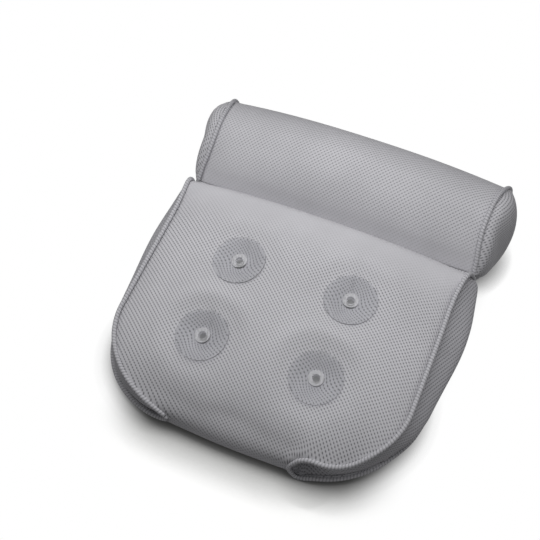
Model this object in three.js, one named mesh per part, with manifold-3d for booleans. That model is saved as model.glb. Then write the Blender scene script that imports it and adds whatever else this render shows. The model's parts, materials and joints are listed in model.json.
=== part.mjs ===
// Bath pillow with a wedge-shaped panel, a neck roll on a sewn fold, and four suction cups.
// Millimetres, +Z up, cup side up. X runs along the fold, +Y points from the panel to the roll.
import * as THREE from 'three';
import Module from 'manifold-3d';

const wasm = await Module();
wasm.setup();

// Panel pad, distances along the panel are measured from the fold
const PANEL_LENGTH = 239;
const FRONT_BOW = 3;
const PANEL_HALF_WIDTH = 148;
const FRONT_WRAP_HALF_WIDTH = 60;
const CORNER_LENGTH = 75;
const FRONT_HEIGHT = 13;
const PANEL_LOFT = 40;
const PANEL_EDGE_LOFT = 26;
const PANEL_SHOULDER_RUN = 29;
const PANEL_BELLY = 38;
const PANEL_EDGE_BELLY = 11;
const PANEL_BELLY_RUN = 53;
const PANEL_NOSE_START = 72;
const PANEL_SEAM_LEAN = 2.4;
const PANEL_FOLD_LEAN = 9;
const PANEL_LEAN_RUN = 63;
const PANEL_LEAN_FADE = 100;
const GUSSET_BULGE = 4;
const GUSSET_SWELL = 8;
const GUSSET_FLARE = 12;
const GUSSET_FULL_PLACE = 74;
const GUSSET_FULL_RUN = 60;
const GUSSET_FULL_HEIGHT = 35;

// Neck roll
const ROLL_LENGTH = 110;
const ROLL_HALF_WIDTH = 142;
const ROLL_SPREAD = 7;
const ROLL_HEIGHT = 102;
const ROLL_SAG = 9;
const ROLL_END_DROP = 4;
const ROLL_END_LIFT = 6;
const ROLL_END_DRAW = 3;
const CAP_BULGE = 12;
const CAP_FLARE = 9;
const CAP_FULL_HEIGHT = 80;

// Fold, cloth, piping and filling
const FOLD_HEIGHT = 50;
const FOLD_SEAM_RADIUS = 2.2;
const MESH_THICKNESS = 2.5;
const PIPING_RADIUS = 2.6;
const CORE_END_INSET = 7;
const FLOOR_EASE = 4;

// Suction cups
const CUP_SPACING_X = 112;
const CUP_SPACING_Y = 80;
const CUP_CENTRE_FROM_FOLD = 130.5;
const CUP_RADIUS = 25;
const CUP_RIM_WIDTH = 2.5;
const CUP_RIM_THICKNESS = 1.7;
const CUP_HUB_RADIUS = 8;
const CUP_FLOOR_THICKNESS = 3;
const CUP_RING_RADIUS = 7.5;
const CUP_RING_HOLE_RADIUS = 3.5;
const CUP_RING_DROP = 1.2;
const CUP_RING_FLOOR = 1.6;
const CUP_STEM_RADIUS = 3.4;
const CUP_HEAD_RADIUS = 6;
const CUP_HEAD_THICKNESS = 3;
const CUP_HEAD_BEVEL = 1.6;
const TUFT_DEPTH = 6;
const TUFT_SEAT_RADIUS = 9.5;
const TUFT_MARGIN = 2;
const WASHER_RADIUS = 8.5;
const WASHER_THICKNESS = 1.5;

// Clearances
const SEAM_GAP = 0.5;
const FILL_GAP = 0.6;
const CUP_GAP = 0.3;
const SKIRT_GAP = 0.6;

// Curve exponents: how round the crowns, corners and nose are
const SHOULDER_POWER = 3.2;
const BELLY_POWER = 2;
const LEAN_POWER = 2;
const SIDE_POWER = 1.5;
const CROWN_POWER = 2.4;
const NOSE_POWER = 3;
const NOSE_ROUND_MIDDLE = 0.5;
const NOSE_ROUND_SEAM = 0.25;
const TIP_ROW_POWER = 1.6;
const BOW_POWER = 4;

// Search for a cup's seat on the skin
const SEAT_SEARCH_STEPS = 60;
const SEAT_SEARCH_SHARE = 0.5;
const SEAT_PROBE = 0.01;
const SEAT_ROWS = 2;

// Facet counts
const PANEL_COLUMNS = 10;
const TIP_ROWS = 5;
const NOSE_ROWS = 10;
const ROLL_COLUMNS = 8;
const ROLL_ROWS = 18;
const LEAF_COLUMNS = 4;
const CORE_CAP_COLUMNS = 3;
const PIPING_SIDES = 8;
const CUP_SEGMENTS = 24;
const TUFT_SEGMENTS = 12;
const HOLE_SEGMENTS = 8;
const SEAM_SIDES = 10;
const LEAST_LEAF_HEIGHT = 1.5;

// Derived sizes
const FOLD_TIP = FOLD_SEAM_RADIUS + SEAM_GAP;
const SEAM_CLEARANCE = PIPING_RADIUS + SEAM_GAP;
const CORE_DEPTH = MESH_THICKNESS + FILL_GAP;
const PANEL_ROWS = TIP_ROWS + NOSE_ROWS;
const ROLL_MIDDLE = ROLL_HEIGHT / 2;

// Materials
const finish = (color, roughness, extra = {}) => (name) => new THREE.MeshStandardMaterial({
  name, color, roughness, metalness: 0, ...extra,
});
const cloth = finish(0xa9a9ac, 0.9);
const pipingCloth = finish(0x8f8f94, 0.8);
const filling = finish(0xe9e9e4, 1);
const clearVinyl = finish(0xd4d7da, 0.15, { transparent: true, opacity: 0.45 });
const whitePlastic = finish(0xdcdcdc, 0.4);

// Small helpers
const clamp01 = (value) => Math.min(1, Math.max(0, value));
const mix = (from, to, share) => from + (to - from) * share;
const rise = (distance, run, power) => 1 - (1 - clamp01(distance / run)) ** power;
const across = (middle, edge, u) => mix(middle, edge, Math.abs(u) ** CROWN_POWER);

// Height of a surface that settles softly onto z = 0
function settle(height) {
  if (height >= FLOOR_EASE) return height;
  if (height <= -FLOOR_EASE) return 0;
  return (height + FLOOR_EASE) ** 2 / (4 * FLOOR_EASE);
}

// Closed geometry from points and triangles, turned so that its faces point outwards
function closedGeometry(points, triangles) {
  const volume = triangles.reduce((sum, [a, b, c]) => (
    sum + points[a].dot(new THREE.Vector3().crossVectors(points[b], points[c]))), 0);
  const index = triangles.flatMap(([a, b, c]) => (volume > 0 ? [a, b, c] : [a, c, b]));
  const geometry = new THREE.BufferGeometry();
  geometry.setAttribute('position', new THREE.Float32BufferAttribute(points.flatMap((p) => p.toArray()), 3));
  geometry.setIndex(index);
  geometry.computeVertexNormals();
  return geometry;
}

// Solid of revolution about Z from a closed profile of [radius, height] pairs
function lathe(profile, segments) {
  const points = [];
  const rings = profile.map(([radius, height]) => {
    const count = radius > 0 ? segments : 1;
    const first = points.length;
    for (let i = 0; i < count; i += 1) {
      const angle = (2 * Math.PI * i) / segments;
      points.push(new THREE.Vector3(radius * Math.cos(angle), radius * Math.sin(angle), height));
    }
    return (i) => first + (i % count);
  });
  const open = profile[0][0] === 0;
  const triangles = [];
  rings.forEach((ring, k) => {
    if (open && k === rings.length - 1) return;
    const next = rings[(k + 1) % rings.length];
    for (let i = 0; i < segments; i += 1) {
      const corners = [ring(i), ring(i + 1), next(i + 1), next(i)];
      if (corners[0] !== corners[1]) triangles.push([corners[0], corners[1], corners[2]]);
      if (corners[2] !== corners[3]) triangles.push([corners[0], corners[2], corners[3]]);
    }
  });
  return closedGeometry(points, triangles);
}

function toSolid(geometry, matrix = new THREE.Matrix4()) {
  const placed = geometry.clone().applyMatrix4(matrix);
  return new wasm.Manifold(new wasm.Mesh({
    numProp: 3,
    vertProperties: new Float32Array(placed.getAttribute('position').array),
    triVerts: new Uint32Array(placed.getIndex().array),
  }));
}

function toGeometry(solid) {
  const mesh = solid.getMesh();
  const geometry = new THREE.BufferGeometry();
  geometry.setAttribute('position', new THREE.BufferAttribute(mesh.vertProperties, mesh.numProp));
  geometry.setIndex(new THREE.BufferAttribute(mesh.triVerts, 1));
  geometry.computeVertexNormals();
  return geometry;
}

// Half width of the panel before its seams lean in or flare out: straight sides, round front corners
function panelHalfWidth(distance) {
  const corner = clamp01((distance - (PANEL_LENGTH - CORNER_LENGTH)) / CORNER_LENGTH);
  return mix(FRONT_WRAP_HALF_WIDTH, PANEL_HALF_WIDTH, Math.sqrt(1 - corner ** 2));
}

// Where along the panel its sides are fullest
function sideFullness(distance) {
  return Math.exp(-(((distance - GUSSET_FULL_PLACE) / GUSSET_FULL_RUN) ** 2));
}

// One row of the panel: rows crowd towards the fold tip and round the nose
function panelRow(row) {
  if (row <= TIP_ROWS) {
    const distance = PANEL_NOSE_START * (row / TIP_ROWS) ** TIP_ROW_POWER;
    return { distance: () => distance, fullness: 1 };
  }
  const reach = Math.sin((Math.PI / 2) * ((row - TIP_ROWS) / NOSE_ROWS));
  const fullness = Math.sqrt(Math.max(0, 1 - reach ** NOSE_POWER));
  const distance = (u) => {
    const roundness = mix(NOSE_ROUND_MIDDLE, NOSE_ROUND_SEAM, Math.abs(u) ** CROWN_POWER);
    const share = (1 - fullness ** (1 / roundness)) ** (1 / NOSE_POWER);
    return mix(PANEL_NOSE_START, PANEL_LENGTH, share);
  };
  return { distance, fullness };
}

// Point of the panel's skin: u from -1 to 1 across, j round the closed section from the fold tip
function panelPoint(u, j) {
  const under = j > PANEL_ROWS;
  const { distance, fullness } = panelRow(under ? 2 * PANEL_ROWS - j : j);
  const here = distance(u);
  const seamHere = distance(1);
  const chord = mix(FOLD_HEIGHT, FRONT_HEIGHT, here / PANEL_LENGTH);
  const shoulder = fullness * rise(here, PANEL_SHOULDER_RUN, SHOULDER_POWER);
  const belly = fullness * rise(here, PANEL_BELLY_RUN, BELLY_POWER);
  const lean = PANEL_SEAM_LEAN + PANEL_FOLD_LEAN * Math.exp(-seamHere / PANEL_LEAN_FADE);
  const drawnIn = lean * fullness * rise(here, PANEL_LEAN_RUN, LEAN_POWER);
  const flaredOut = GUSSET_FLARE * sideFullness(seamHere) * belly;
  const height = under
    ? settle(chord - belly * across(PANEL_BELLY, PANEL_EDGE_BELLY, u))
    : chord + shoulder * across(PANEL_LOFT, PANEL_EDGE_LOFT, u);
  const bow = FRONT_BOW * (1 - u ** 2) * (here / PANEL_LENGTH) ** BOW_POWER;
  const out = mix(FOLD_TIP, PANEL_LENGTH, here / PANEL_LENGTH) + bow;
  const halfWidth = panelHalfWidth(seamHere) + (under ? flaredOut : -drawnIn);
  return new THREE.Vector3(u * halfWidth, -out, height);
}

// Point of the roll's skin: a pointed front at the fold, a round back, and ends that flare out below
function rollPoint(u, j) {
  const under = j > ROLL_ROWS;
  const turn = (Math.PI * (under ? 2 * ROLL_ROWS - j : j)) / ROLL_ROWS;
  const reach = (1 - Math.cos(turn)) / 2;
  const fullness = turn < Math.PI / 2 ? Math.sin(turn) ** 2 : Math.sin(turn);
  const chord = mix(FOLD_HEIGHT, ROLL_MIDDLE, clamp01(2 * reach));
  const height = under
    ? settle(chord - fullness * (ROLL_MIDDLE + across(ROLL_SAG, -ROLL_END_LIFT, u)))
    : chord + fullness * (ROLL_MIDDLE - across(0, ROLL_END_DROP, u));
  const length = ROLL_LENGTH - across(0, ROLL_END_DRAW, u);
  const halfWidth = ROLL_HALF_WIDTH + ROLL_SPREAD * reach + (under ? CAP_FLARE * fullness : 0);
  return new THREE.Vector3(u * halfWidth, mix(FOLD_TIP, length, reach), height);
}

// Grid of skin points: columns across, closed rows round the section
function skinGrid(pad) {
  const columns = [];
  for (let i = 0; i <= pad.columns; i += 1) {
    const u = (2 * i) / pad.columns - 1;
    columns.push(Array.from({ length: 2 * pad.rows }, (_, j) => pad.point(u, j)));
  }
  return columns;
}

// Mitred inward offset of a grid that is open across and closed round
function offsetGrid(grid, depth) {
  const last = grid.length - 1;
  const count = grid[0].length;
  const faceNormal = (i, j) => {
    const corner = grid[i][j];
    const over = grid[i + 1][(j + 1) % count];
    const diagonal = new THREE.Vector3().subVectors(over, corner);
    const other = new THREE.Vector3().subVectors(grid[i + 1][j], grid[i][(j + 1) % count]);
    return diagonal.cross(other).normalize();
  };
  const all = grid.flat();
  const centre = all.reduce((sum, p) => sum.add(p), new THREE.Vector3()).divideScalar(all.length);
  const middle = Math.floor(last / 2);
  const crest = Math.floor(count / 4);
  const outward = new THREE.Vector3().subVectors(grid[middle][crest], centre);
  const turned = faceNormal(middle, crest).dot(outward) > 0 ? 1 : -1;
  return grid.map((column, i) => column.map((point, j) => {
    const faces = [];
    for (const a of [i - 1, i]) {
      if (a >= 0 && a < last) faces.push(faceNormal(a, (j + count - 1) % count), faceNormal(a, j));
    }
    const normal = faces.reduce((sum, n) => sum.add(n), new THREE.Vector3()).normalize();
    const mitre = faces.reduce((sum, n) => sum + n.dot(normal), 0) / faces.length;
    return point.clone().addScaledVector(normal, (-turned * depth) / mitre);
  }));
}

// Seam at one side: the edge loop, its outward plan normals and its running directions
function seamLoop(pad, side) {
  const count = 2 * pad.rows;
  const points = Array.from({ length: count }, (_, j) => pad.point(side, j));
  const at = (j) => points[(j + count) % count];
  const steps = points.map((_, j) => new THREE.Vector3().subVectors(at(j + 1), at(j)).normalize());
  const before = (j) => steps[(j + count - 1) % count];
  const directions = steps.map((step, j) => new THREE.Vector3().addVectors(step, before(j)).normalize());
  const mitres = steps.map((step, j) => Math.sqrt((1 + step.dot(before(j))) / 2));
  const normals = points.map((_, j) => pad.sideNormal(side, j));
  return { points, steps, directions, mitres, normals };
}

// Plan normal of the panel's side at a row, from the neighbouring seam points
function panelSideNormal(side, j) {
  const row = j > PANEL_ROWS ? 2 * PANEL_ROWS - j : j;
  if (row === PANEL_ROWS) return new THREE.Vector3(0, -1, 0);
  const low = panelPoint(1, 2 * PANEL_ROWS - Math.max(1, row - 1));
  const high = panelPoint(1, 2 * PANEL_ROWS - (row + 1));
  const run = new THREE.Vector3().subVectors(high, low);
  return new THREE.Vector3(-side * run.y, run.x, 0).normalize();
}

// How far a side piece swells out of its seams: less where the seams come close together
function gussetSwell(row, height) {
  const bulge = GUSSET_BULGE + GUSSET_SWELL * sideFullness(panelRow(row).distance(1));
  return bulge * Math.sin((Math.PI / 2) * clamp01(height / GUSSET_FULL_HEIGHT));
}

function capSwell(_, height) {
  return CAP_BULGE * Math.sin((Math.PI / 2) * clamp01(height / CAP_FULL_HEIGHT));
}

const panelPad = {
  columns: PANEL_COLUMNS,
  rows: PANEL_ROWS,
  point: panelPoint,
  sideNormal: panelSideNormal,
  sideSwell: gussetSwell,
};
const rollPad = {
  columns: ROLL_COLUMNS,
  rows: ROLL_ROWS,
  point: rollPoint,
  sideNormal: (side) => new THREE.Vector3(side, 0, 0),
  sideSwell: capSwell,
};

// Mesh sleeve: a sheet of even thickness, open at both sides, that stops short of the piping
function sleeveGeometry(pad) {
  const skin = skinGrid(pad);
  const count = 2 * pad.rows;
  const last = skin.length - 1;
  for (const [edge, inner, side] of [[0, 1, -1], [last, last - 1, 1]]) {
    const seam = seamLoop(pad, side);
    skin[edge] = seam.points.map((point, j) => {
      const inwards = new THREE.Vector3().subVectors(skin[inner][j], point);
      inwards.addScaledVector(seam.directions[j], -inwards.dot(seam.directions[j])).normalize();
      return point.clone().addScaledVector(inwards, SEAM_CLEARANCE / seam.mitres[j]);
    });
  }
  const lining = offsetGrid(skin, MESH_THICKNESS);
  const points = [...skin.flat(), ...lining.flat()];
  const outer = (i, j) => i * count + (j % count);
  const inner = (i, j) => (last + 1) * count + i * count + (j % count);
  const triangles = [];
  const quad = (a, b, c, d) => triangles.push([a, b, c], [a, c, d]);
  for (let j = 0; j < count; j += 1) {
    for (let i = 0; i < last; i += 1) {
      quad(outer(i, j), outer(i, j + 1), outer(i + 1, j + 1), outer(i + 1, j));
      quad(inner(i, j), inner(i + 1, j), inner(i + 1, j + 1), inner(i, j + 1));
    }
    quad(outer(0, j), inner(0, j), inner(0, j + 1), outer(0, j + 1));
    quad(outer(last, j), outer(last, j + 1), inner(last, j + 1), inner(last, j));
  }
  return closedGeometry(points, triangles);
}

// One row of a side piece, from the upper seam to the lower one, swelling outwards between them
function leafRow(upper, lower, normal, swell, shares) {
  return shares.map((share) => upper.clone().lerp(lower, share)
    .addScaledVector(normal, swell * Math.sin(Math.PI * share ** SIDE_POWER)));
}

// Side gusset or end cap: a swelling leaf of mesh inside the piping loop
function leafGeometry(pad, side) {
  const seam = seamLoop(pad, side);
  const trimAt = (j, down) => {
    const slants = [seam.steps[j - 1], seam.steps[j]].map((step) => Math.sqrt(1 - down.dot(step) ** 2));
    return SEAM_CLEARANCE / Math.min(...slants);
  };
  const rows = [];
  const normals = [];
  for (let j = 1; j < pad.rows; j += 1) {
    const upper = seam.points[j];
    const lower = seam.points[2 * pad.rows - j];
    const height = upper.distanceTo(lower);
    const down = new THREE.Vector3().subVectors(lower, upper).normalize();
    const top = trimAt(j, down);
    const bottom = height - trimAt(2 * pad.rows - j, down);
    if (bottom - top > LEAST_LEAF_HEIGHT) {
      const share = (k) => mix(top, bottom, k / LEAF_COLUMNS) / height;
      const shares = Array.from({ length: LEAF_COLUMNS + 1 }, (_, k) => share(k));
      rows.push(leafRow(upper, lower, seam.normals[j], pad.sideSwell(j, height), shares));
      normals.push(seam.normals[j]);
    }
  }
  const backs = rows.map((row, k) => row.map((p) => p.clone().addScaledVector(normals[k], -MESH_THICKNESS)));
  const points = [...rows.flat(), ...backs.flat()];
  const width = LEAF_COLUMNS + 1;
  const front = (k, c) => k * width + c;
  const back = (k, c) => rows.length * width + k * width + c;
  const triangles = [];
  const quad = (a, b, c, d) => triangles.push([a, b, c], [a, c, d]);
  const lastRow = rows.length - 1;
  for (let k = 0; k < lastRow; k += 1) {
    for (let c = 0; c < LEAF_COLUMNS; c += 1) {
      quad(front(k, c), front(k, c + 1), front(k + 1, c + 1), front(k + 1, c));
      quad(back(k, c), back(k + 1, c), back(k + 1, c + 1), back(k, c + 1));
    }
    const end = LEAF_COLUMNS;
    quad(front(k, 0), front(k + 1, 0), back(k + 1, 0), back(k, 0));
    quad(front(k, end), back(k, end), back(k + 1, end), front(k + 1, end));
  }
  for (let c = 0; c < LEAF_COLUMNS; c += 1) {
    quad(front(0, c), back(0, c), back(0, c + 1), front(0, c + 1));
    quad(front(lastRow, c), front(lastRow, c + 1), back(lastRow, c + 1), back(lastRow, c));
  }
  return closedGeometry(points, triangles);
}

// Piping: a round cord swept along the closed seam loop
function pipingGeometry(pad, side) {
  const seam = seamLoop(pad, side);
  const count = seam.points.length;
  const points = [];
  seam.points.forEach((point, j) => {
    const sideways = new THREE.Vector3().crossVectors(seam.directions[j], seam.normals[j]).normalize();
    const outwards = new THREE.Vector3().crossVectors(sideways, seam.directions[j]);
    for (let k = 0; k < PIPING_SIDES; k += 1) {
      const angle = (2 * Math.PI * (k + 0.5)) / PIPING_SIDES;
      points.push(point.clone().addScaledVector(outwards, PIPING_RADIUS * Math.cos(angle))
        .addScaledVector(sideways, PIPING_RADIUS * Math.sin(angle)));
    }
  });
  const at = (j, k) => (j % count) * PIPING_SIDES + (k % PIPING_SIDES);
  const triangles = [];
  for (let j = 0; j < count; j += 1) {
    for (let k = 0; k < PIPING_SIDES; k += 1) {
      triangles.push([at(j, k), at(j, k + 1), at(j + 1, k + 1)], [at(j, k), at(j + 1, k + 1), at(j + 1, k)]);
    }
  }
  return closedGeometry(points, triangles);
}

// Filling: the sleeve's form drawn in by the cloth, with swelling ends behind the side pieces
function coreGeometry(pad) {
  const count = 2 * pad.rows;
  const drawn = skinGrid(pad).map((column, i) => column.map((point, j) => {
    const u = (2 * i) / pad.columns - 1;
    const inset = pad.sideNormal(Math.sign(u) || 1, j).multiplyScalar(-CORE_END_INSET);
    return point.add(new THREE.Vector3(inset.x * Math.abs(u), inset.y * Math.abs(u) ** CROWN_POWER, 0));
  }));
  const grid = offsetGrid(drawn, CORE_DEPTH);
  const last = grid.length - 1;
  const points = grid.flat();
  const at = (i, j) => i * count + (j % count);
  const triangles = [];
  const quad = (a, b, c, d) => triangles.push([a, b, c], [a, c, d]);
  for (let i = 0; i < last; i += 1) {
    for (let j = 0; j < count; j += 1) quad(at(i, j), at(i, j + 1), at(i + 1, j + 1), at(i + 1, j));
  }
  const inside = Array.from({ length: CORE_CAP_COLUMNS - 1 }, (_, k) => (k + 1) / CORE_CAP_COLUMNS);
  for (const [column, side] of [[0, -1], [last, 1]]) {
    const strip = [];
    for (let j = 0; j <= pad.rows; j += 1) {
      const upper = at(column, j);
      const lower = at(column, count - j);
      const first = points.length;
      const ends = j === 0 || j === pad.rows;
      if (!ends) {
        const swell = pad.sideSwell(j, points[upper].distanceTo(points[lower]));
        points.push(...leafRow(points[upper], points[lower], pad.sideNormal(side, j), swell, inside));
      }
      strip.push((c) => {
        if (ends || c === 0) return upper;
        return c === CORE_CAP_COLUMNS ? lower : first + c - 1;
      });
    }
    for (let j = 0; j < pad.rows; j += 1) {
      for (let c = 0; c < CORE_CAP_COLUMNS; c += 1) {
        const [a, b] = [strip[j](c), strip[j](c + 1)];
        const [d, e] = [strip[j + 1](c), strip[j + 1](c + 1)];
        const faces = [[a, d, e], [a, e, b]].filter(([p, q, r]) => p !== q && q !== r && p !== r);
        triangles.push(...faces.map(([p, q, r]) => (side > 0 ? [p, q, r] : [p, r, q])));
      }
    }
  }
  return closedGeometry(points, triangles);
}

// Place and normal on the panel's upper skin, straight above a point in plan
function panelSeat(x, distance) {
  const skin = (u, row) => {
    const low = Math.min(PANEL_ROWS - 1, Math.floor(row));
    return panelPoint(u, low).lerp(panelPoint(u, low + 1), row - low);
  };
  let u = x / PANEL_HALF_WIDTH;
  let row = (PANEL_ROWS * distance) / PANEL_LENGTH;
  for (let i = 0; i < SEAT_SEARCH_STEPS; i += 1) {
    const here = skin(u, row);
    const ahead = skin(u, row + SEAT_PROBE);
    row += (SEAT_SEARCH_SHARE * (here.y + distance) * SEAT_PROBE) / (here.y - ahead.y);
    u += (x - here.x) / PANEL_HALF_WIDTH;
  }
  const point = skin(u, row);
  const alongX = new THREE.Vector3().subVectors(skin(u + SEAT_PROBE, row), skin(u - SEAT_PROBE, row));
  const alongRow = new THREE.Vector3().subVectors(skin(u, row - SEAT_ROWS), skin(u, row + SEAT_ROWS));
  return { point, normal: alongX.cross(alongRow).normalize() };
}

// Heights along a cup's axis, from the skin outwards
const seatTop = -TUFT_DEPTH;
const seatUnder = seatTop - MESH_THICKNESS;
const tuftRadius = CUP_RADIUS + TUFT_MARGIN;
const tuftSlope = TUFT_DEPTH / (tuftRadius - TUFT_SEAT_RADIUS);
const tuftHeight = (radius) => seatTop + (radius - TUFT_SEAT_RADIUS) * tuftSlope;
const holeRadius = CUP_STEM_RADIUS + CUP_GAP;
const washerTop = seatUnder - CUP_GAP;
const washerUnder = washerTop - WASHER_THICKNESS;
const headTop = washerUnder - CUP_GAP;
const headUnder = headTop - CUP_HEAD_THICKNESS;
const cupUnder = seatTop + CUP_GAP;
const rimUnder = tuftHeight(CUP_RADIUS) + SKIRT_GAP;
const rimTop = rimUnder + CUP_RIM_THICKNESS;
const ringTop = rimTop - CUP_RING_DROP;
const cupFloor = cupUnder + CUP_FLOOR_THICKNESS;

// Suction cup: button head, stem, hub, thin skirt with a flat rim, and a ring round a blind hole
function cupGeometry() {
  return lathe([
    [0, headUnder],
    [CUP_HEAD_RADIUS - CUP_HEAD_BEVEL, headUnder],
    [CUP_HEAD_RADIUS, headUnder + CUP_HEAD_BEVEL],
    [CUP_HEAD_RADIUS, headTop],
    [CUP_STEM_RADIUS, headTop],
    [CUP_STEM_RADIUS, cupUnder],
    [CUP_HUB_RADIUS, cupUnder],
    [CUP_RADIUS, rimUnder],
    [CUP_RADIUS, rimTop],
    [CUP_RADIUS - CUP_RIM_WIDTH, rimTop],
    [CUP_RING_RADIUS, cupFloor],
    [CUP_RING_RADIUS, ringTop],
    [CUP_RING_HOLE_RADIUS, ringTop],
    [CUP_RING_HOLE_RADIUS, cupUnder + CUP_RING_FLOOR],
    [0, cupUnder + CUP_RING_FLOOR],
  ], CUP_SEGMENTS);
}

function washerGeometry() {
  return lathe([
    [holeRadius, washerUnder],
    [WASHER_RADIUS, washerUnder],
    [WASHER_RADIUS, washerTop],
    [holeRadius, washerTop],
  ], TUFT_SEGMENTS);
}

// Tuft in the sleeve: cloth plug behind the skin, hollow in front of it, and hole for the stem
const tuftReach = tuftRadius + TUFT_MARGIN;
const tuftPlug = lathe([
  [0, seatUnder],
  [TUFT_SEAT_RADIUS, seatUnder],
  [tuftReach, tuftHeight(tuftReach) - MESH_THICKNESS],
  [tuftReach, -MESH_THICKNESS / 2],
  [0, -MESH_THICKNESS / 2],
], TUFT_SEGMENTS);
const tuftHollow = lathe([
  [0, seatTop],
  [TUFT_SEAT_RADIUS, seatTop],
  [tuftReach, tuftHeight(tuftReach)],
  [tuftReach, TUFT_DEPTH],
  [0, TUFT_DEPTH],
], TUFT_SEGMENTS);
const stemHole = lathe([
  [0, 2 * seatUnder],
  [holeRadius, 2 * seatUnder],
  [holeRadius, 0],
  [0, 0],
], HOLE_SEGMENTS);

// Pocket in the filling that clears the tuft, the washer and the button head
const pocketReach = tuftReach + FILL_GAP;
const pocketTop = TUFT_DEPTH;
const tuftPocket = lathe([
  [0, headUnder - FILL_GAP],
  [WASHER_RADIUS + FILL_GAP, headUnder - FILL_GAP],
  [WASHER_RADIUS + FILL_GAP, seatUnder - FILL_GAP],
  [TUFT_SEAT_RADIUS, seatUnder - FILL_GAP],
  [pocketReach, tuftHeight(pocketReach) - MESH_THICKNESS - FILL_GAP],
  [pocketReach, pocketTop],
  [0, pocketTop],
], TUFT_SEGMENTS);

// Assembly: the panel with its cups is fixed, the roll turns about the fold seam
const pillow = new THREE.Group();
const panel = new THREE.Group();
const roll = new THREE.Group();
pillow.add(panel, roll);

function addPiece(parent, name, geometry, material) {
  const mesh = new THREE.Mesh(geometry, material(name));
  mesh.name = name;
  parent.add(mesh);
  return mesh;
}

const sides = [['left', -1], ['right', 1]];
const cupSeats = [];
for (const row of [-1, 1]) {
  for (const [, side] of sides) {
    const distance = CUP_CENTRE_FROM_FOLD + (row * CUP_SPACING_Y) / 2;
    cupSeats.push(panelSeat((side * CUP_SPACING_X) / 2, distance));
  }
}
const cupFrames = cupSeats.map(({ point, normal }) => {
  const turn = new THREE.Quaternion().setFromUnitVectors(new THREE.Vector3(0, 0, 1), normal);
  return new THREE.Matrix4().compose(point, turn, new THREE.Vector3(1, 1, 1));
});

let panelSleeve = toSolid(sleeveGeometry(panelPad));
let panelCore = toSolid(coreGeometry(panelPad));
for (const frame of cupFrames) {
  panelSleeve = panelSleeve.add(toSolid(tuftPlug, frame)).subtract(toSolid(tuftHollow, frame))
    .subtract(toSolid(stemHole, frame));
  panelCore = panelCore.subtract(toSolid(tuftPocket, frame));
}
addPiece(panel, 'panel_sleeve', toGeometry(panelSleeve), cloth);
addPiece(panel, 'panel_core', toGeometry(panelCore), filling);
for (const [label, side] of sides) {
  const gusset = leafGeometry(panelPad, side);
  addPiece(panel, `panel_gusset_${label}`, gusset, cloth);
  addPiece(panel, `panel_piping_${label}`, pipingGeometry(panelPad, side), pipingCloth);
}

// Fold seam: a sewn cord between the two roll pipings, on the line that the roll turns about
const seamLength = 2 * (ROLL_HALF_WIDTH - SEAM_CLEARANCE);
const seam = addPiece(panel, 'fold_seam',
  new THREE.CylinderGeometry(FOLD_SEAM_RADIUS, FOLD_SEAM_RADIUS, seamLength, SEAM_SIDES), pipingCloth);
seam.rotation.z = Math.PI / 2;
seam.position.z = FOLD_HEIGHT;

cupFrames.forEach((frame, i) => {
  const holder = new THREE.Group();
  holder.applyMatrix4(frame);
  panel.add(holder);
  addPiece(holder, `suction_cup_${i + 1}`, cupGeometry(), clearVinyl);
  addPiece(holder, `backing_washer_${i + 1}`, washerGeometry(), whitePlastic);
});

addPiece(roll, 'roll_sleeve', sleeveGeometry(rollPad), cloth);
addPiece(roll, 'roll_core', coreGeometry(rollPad), filling);
for (const [label, side] of sides) {
  addPiece(roll, `roll_end_cap_${label}`, leafGeometry(rollPad, side), cloth);
  addPiece(roll, `roll_piping_${label}`, pipingGeometry(rollPad, side), pipingCloth);
}

// The origin lies under the middle of the whole pillow
const box = new THREE.Box3().setFromObject(pillow);
pillow.position.y = -(box.min.y + box.max.y) / 2;

export default pillow;
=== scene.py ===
import json
import math

import bpy
import numpy as np
from mathutils import Matrix, Vector


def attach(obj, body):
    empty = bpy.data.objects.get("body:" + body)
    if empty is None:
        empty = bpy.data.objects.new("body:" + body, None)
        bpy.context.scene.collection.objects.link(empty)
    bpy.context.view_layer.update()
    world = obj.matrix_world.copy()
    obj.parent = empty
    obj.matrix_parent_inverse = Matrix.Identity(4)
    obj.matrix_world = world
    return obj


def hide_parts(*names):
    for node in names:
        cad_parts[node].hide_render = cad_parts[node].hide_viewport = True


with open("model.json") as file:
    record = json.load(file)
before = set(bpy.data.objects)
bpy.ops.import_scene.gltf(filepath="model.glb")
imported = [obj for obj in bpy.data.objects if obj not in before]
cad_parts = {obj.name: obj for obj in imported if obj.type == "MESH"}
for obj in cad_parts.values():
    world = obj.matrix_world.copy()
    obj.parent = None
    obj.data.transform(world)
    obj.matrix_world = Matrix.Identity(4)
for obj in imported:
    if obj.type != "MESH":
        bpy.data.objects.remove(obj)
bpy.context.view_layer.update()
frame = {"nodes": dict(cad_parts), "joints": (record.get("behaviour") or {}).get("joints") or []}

MM = 0.001

# Panel pad, in millimetres from the fold
PANEL_LENGTH = 239
FRONT_BOW = 3
PANEL_HALF_WIDTH = 148
FRONT_WRAP_HALF_WIDTH = 60
CORNER_LENGTH = 75
FRONT_HEIGHT = 13
PANEL_LOFT = 40
PANEL_EDGE_LOFT = 26
PANEL_SHOULDER_RUN = 29
PANEL_BELLY = 38
PANEL_EDGE_BELLY = 11
PANEL_BELLY_RUN = 53
PANEL_NOSE_START = 72
PANEL_SEAM_LEAN = 2.4
PANEL_FOLD_LEAN = 9
PANEL_LEAN_RUN = 63
PANEL_LEAN_FADE = 100
GUSSET_BULGE = 4
GUSSET_SWELL = 8
GUSSET_FLARE = 10
GUSSET_FULL_PLACE = 71
GUSSET_FULL_RUN = 72
GUSSET_FRONT_RUN = 42
GUSSET_TAIL_SHARE = 0.75
GUSSET_TAIL_RUN = 130
GUSSET_TAIL_END = 145
GUSSET_TAIL_FADE = 55
GUSSET_FULL_HEIGHT = 35

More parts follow.
